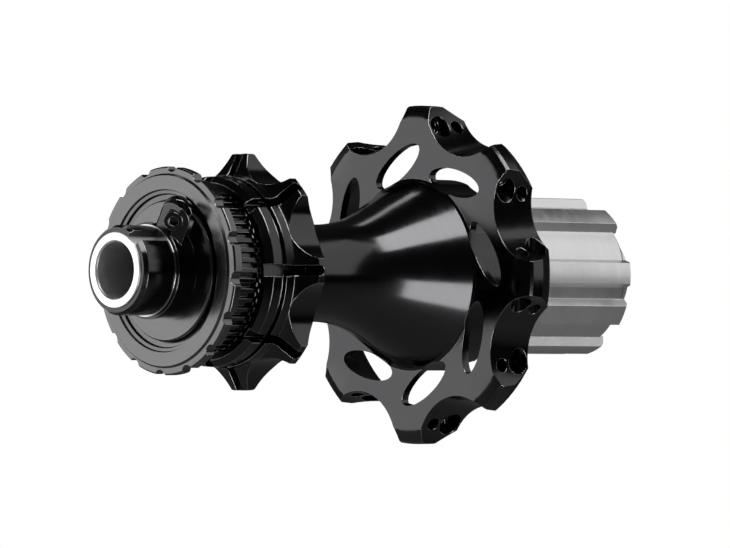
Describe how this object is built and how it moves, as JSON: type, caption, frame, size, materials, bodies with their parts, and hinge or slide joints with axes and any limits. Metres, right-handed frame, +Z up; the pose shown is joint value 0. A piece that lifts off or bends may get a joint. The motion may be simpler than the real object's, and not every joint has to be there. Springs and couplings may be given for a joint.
{
  "type": "bicycle rear hub",
  "caption": "Rear bicycle hub for a disc brake and thru-axle, with straight-pull spoke seats, a splined rotor mount with lockring, and a pawl freehub.",
  "frame": {"origin": "on the spin axis, midway between the two end faces", "axes": "+Y along the spin axis towards the disc side, +Z up, +X forward; the freehub is at -Y"},
  "size_m": [0.0736, 0.142, 0.0736],
  "materials": {
    "silver_axle": "satin turned aluminium",
    "bright_cap": "polished aluminium",
    "black_anodised": "glossy black anodised aluminium",
    "grey_anodised": "satin dark grey anodised aluminium",
    "bearing_steel": "ground and polished bearing steel",
    "steel": "machined steel",
    "black_steel": "black oxide steel",
    "rubber": "black moulded rubber",
    "cage_plastic": "moulded nylon",
    "freehub_alloy": "satin bare aluminium"
  },
  "bodies": {
    "axle_unit": {"axle": "silver_axle", "disc_end_cap": "bright_cap", "disc_cap_sleeve": "black_anodised", "thrust_washer": "bearing_steel", "disc_dust_cover": "grey_anodised", "disc_cone": "bearing_steel", "drive_cone": "bearing_steel", "drive_spacer": "silver_axle", "inner_race_1": "bearing_steel", "freehub_spacer": "silver_axle", "inner_race_2": "bearing_steel", "drive_end_cap": "freehub_alloy"},
    "adjuster": {"preload_collar": "black_anodised", "pinch_screw": "black_steel"},
    "shell_unit": {"hub_shell": "black_anodised", "disc_cup": "bearing_steel", "drive_cup": "bearing_steel", "disc_seal": "rubber", "ratchet_ring": "steel", "rotor_lockring": "grey_anodised"},
    "disc_balls": {"disc_bearing_balls": "bearing_steel", "disc_ball_cage": "cage_plastic"},
    "drive_balls": {"drive_bearing_balls": "bearing_steel", "drive_ball_cage": "cage_plastic"},
    "freehub_unit": {"freehub_body": "freehub_alloy", "outer_race_1": "bearing_steel", "outer_race_2": "bearing_steel", "freehub_seal": "rubber", "snap_ring": "black_steel", "end_seal": "rubber", "pawl_spring": "steel"},
    "freehub_balls": {"freehub_balls_1": "bearing_steel", "freehub_balls_2": "bearing_steel"},
    "pawl_a": {"pawl_1": "steel"},
    "pawl_b": {"pawl_2": "steel"},
    "pawl_c": {"pawl_3": "steel"}
  },
  "joints": [
    {"name": "collar_turn", "type": "hinge", "parent": "axle_unit", "child": "adjuster", "pos_m": [0, 0, 0], "axis": [0, 1, 0], "range_deg": [-45, 45]},
    {"name": "shell_spin", "type": "hinge", "parent": "axle_unit", "child": "shell_unit", "pos_m": [0, 0, 0], "axis": [0, 1, 0], "continuous": true},
    {"name": "disc_balls_orbit", "type": "hinge", "parent": "axle_unit", "child": "disc_balls", "pos_m": [0, 0, 0], "axis": [0, 1, 0], "continuous": true},
    {"name": "drive_balls_orbit", "type": "hinge", "parent": "axle_unit", "child": "drive_balls", "pos_m": [0, 0, 0], "axis": [0, 1, 0], "continuous": true},
    {"name": "freehub_spin", "type": "hinge", "parent": "axle_unit", "child": "freehub_unit", "pos_m": [0, 0, 0], "axis": [0, 1, 0], "continuous": true},
    {"name": "freehub_balls_orbit", "type": "hinge", "parent": "axle_unit", "child": "freehub_balls", "pos_m": [0, 0, 0], "axis": [0, 1, 0], "continuous": true},
    {"name": "pawl_1_lift", "type": "hinge", "parent": "freehub_unit", "child": "pawl_a", "pos_m": [-0.0022, -0.0185, 0.0139], "axis": [0, 1, 0], "range_deg": [-10, 0], "stiffness_Nm_per_rad": 0.005, "springref_deg": -11.46},
    {"name": "pawl_2_lift", "type": "hinge", "parent": "freehub_unit", "child": "pawl_b", "pos_m": [-0.01094, -0.0185, -0.00886], "axis": [0, 1, 0], "range_deg": [-10, 0], "stiffness_Nm_per_rad": 0.005, "springref_deg": -11.46},
    {"name": "pawl_3_lift", "type": "hinge", "parent": "freehub_unit", "child": "pawl_c", "pos_m": [0.01314, -0.0185, -0.00504], "axis": [0, 1, 0], "range_deg": [-10, 0], "stiffness_Nm_per_rad": 0.005, "springref_deg": -11.46}
  ],
  "couplings": [
    {"joint": "disc_balls_orbit", "follows": "shell_spin", "ratio": 0.58609},
    {"joint": "drive_balls_orbit", "follows": "shell_spin", "ratio": 0.58609},
    {"joint": "freehub_balls_orbit", "follows": "freehub_spin", "ratio": 0.55535},
    {"joint": "pawl_2_lift", "follows": "pawl_1_lift", "ratio": 1},
    {"joint": "pawl_3_lift", "follows": "pawl_1_lift", "ratio": 1}
  ]
}
